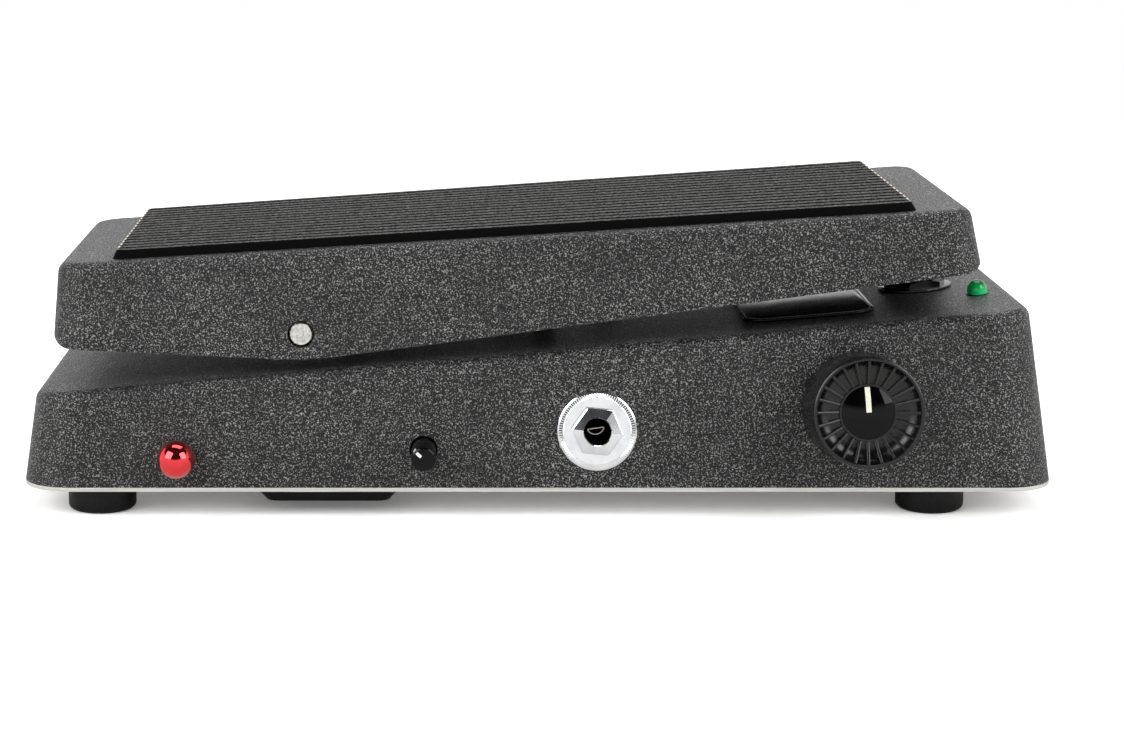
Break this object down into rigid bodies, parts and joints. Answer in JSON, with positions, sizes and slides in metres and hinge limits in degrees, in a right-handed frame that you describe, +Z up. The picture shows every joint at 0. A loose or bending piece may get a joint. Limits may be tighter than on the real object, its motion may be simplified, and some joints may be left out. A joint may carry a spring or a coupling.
{
  "type": "guitar effects pedal",
  "caption": "Rocker wah-type guitar effects pedal: cast treadle on a steel rod, rack-driven pot, toe switch, range knob, boost button and level spindle, two jacks.",
  "frame": {"origin": "on the floor, in the middle of the pedal's footprint, knob and jacks included", "axes": "+X along the pedal to the toe end, -Y to the input jack and knob side, +Z up"},
  "size_m": [0.254, 0.1207, 0.0772],
  "materials": {
    "powder_coat": "fine-wrinkle black powder coat",
    "mat_rubber": "ribbed moulded rubber",
    "foot_rubber": "semi-gloss moulded rubber",
    "bare_steel": "bare sheet steel",
    "zinc_plate": "bright zinc plating",
    "black_plating": "black plated steel",
    "black_plastic": "moulded black plastic",
    "gloss_plastic": "polished black plastic",
    "red_chrome": "metallic red plating",
    "green_lens": "clear green epoxy",
    "nylon": "natural nylon",
    "circuit_laminate": "green laminate",
    "battery_jacket": "printed steel jacket, left bare",
    "coil_can": "lacquered can",
    "foam": "open-cell foam",
    "wire_sleeve": "PVC sleeve"
  },
  "bodies": {
    "base": {"base_casting": "powder_coat", "battery_block": "battery_jacket", "battery_box": "black_plastic", "battery_door_pin": "bare_steel", "battery_snap": "black_plastic", "board_screws": "zinc_plate", "boost_pot": "black_plastic", "boost_switch": "black_plastic", "bottom_plate": "bare_steel", "capacitors": "gloss_plastic", "circuit_board": "circuit_laminate", "foot_heel_far": "foot_rubber", "foot_heel_near": "foot_rubber", "foot_screws": "black_plating", "foot_toe_far": "foot_rubber", "foot_toe_near": "foot_rubber", "foot_washers": "zinc_plate", "hookup_wires": "wire_sleeve", "inductor": "coil_can", "input_jack": "black_plastic", "jack_nuts": "zinc_plate", "jack_washers": "zinc_plate", "name_plate": "gloss_plastic", "output_jack": "black_plastic", "pivot_bracket": "zinc_plate", "pivot_bracket_screws": "zinc_plate", "pivot_bushes": "nylon", "pot_bracket": "zinc_plate", "pot_bracket_screws": "zinc_plate", "power_jack": "black_plastic", "rack_guide": "nylon", "range_switch": "black_plastic", "range_switch_nut": "zinc_plate", "resistors": "gloss_plastic", "status_lamp": "green_lens", "sweep_pot": "zinc_plate", "sweep_pot_nut": "zinc_plate", "toe_switch": "black_plastic", "toe_switch_nut": "black_plating", "transistors": "black_plastic"},
    "treadle": {"treadle_casting": "powder_coat", "tread_mat": "mat_rubber", "pivot_rod": "bare_steel", "rod_set_screws": "zinc_plate", "clevis_pin": "bare_steel", "clevis_clip": "zinc_plate", "heel_bumpers": "foot_rubber", "toe_bumper": "foot_rubber"},
    "rack": {"rack": "nylon"},
    "pinion": {"pinion_gear": "nylon", "sweep_pot_shaft": "bare_steel"},
    "range_selector": {"range_knob": "black_plastic", "range_knob_cap": "gloss_plastic", "range_switch_shaft": "bare_steel"},
    "boost_level": {"boost_knob": "gloss_plastic"},
    "boost_push": {"boost_button": "red_chrome"},
    "toe_plunger": {"toe_switch_plunger": "gloss_plastic"},
    "battery_hatch": {"battery_door": "black_plastic", "battery_door_pad": "foam"}
  },
  "joints": [
    {"name": "treadle_tilt", "type": "hinge", "parent": "base", "child": "treadle", "pos_m": [-0.0581, 0.00776, 0.0449], "axis": [0, 1, 0], "range_deg": [-9, 2.4]},
    {"name": "rack_slide", "type": "slide", "parent": "base", "child": "rack", "axis": [0, 0, 1], "range_m": [-0.00253, 0.00947]},
    {"name": "pinion_spin", "type": "hinge", "parent": "base", "child": "pinion", "pos_m": [0.01044, 0.00776, 0.0226], "axis": [0, 1, 0], "range_deg": [-24.12, 90.45]},
    {"name": "range_knob_turn", "type": "hinge", "parent": "base", "child": "range_selector", "pos_m": [0.0778, -0.04031, 0.0274], "axis": [0, -0.9903, 0.1392], "range_deg": [-80, 70]},
    {"name": "boost_level_turn", "type": "hinge", "parent": "base", "child": "boost_level", "pos_m": [-0.0281, -0.04175, 0.0172], "axis": [0, -1, 0], "range_deg": [-195, 105]},
    {"name": "boost_button_press", "type": "slide", "parent": "base", "child": "boost_push", "axis": [0, 0.9903, -0.1392], "range_m": [0, 0.0014], "stiffness_N_per_m": 1200, "springref_m": -0.001},
    {"name": "toe_switch_press", "type": "slide", "parent": "base", "child": "toe_plunger", "axis": [0.0846, 0, -0.9964], "range_m": [0, 0.0025], "stiffness_N_per_m": 4000, "springref_m": -0.001},
    {"name": "battery_door_swing", "type": "hinge", "parent": "base", "child": "battery_hatch", "pos_m": [-0.0518, 0.02216, 0.0052], "axis": [1, 0, 0], "range_deg": [0, 100]}
  ],
  "couplings": [
    {"joint": "rack_slide", "follows": "treadle_tilt", "m_per_rad": -0.0603},
    {"joint": "pinion_spin", "follows": "treadle_tilt", "ratio": -10.05}
  ]
}
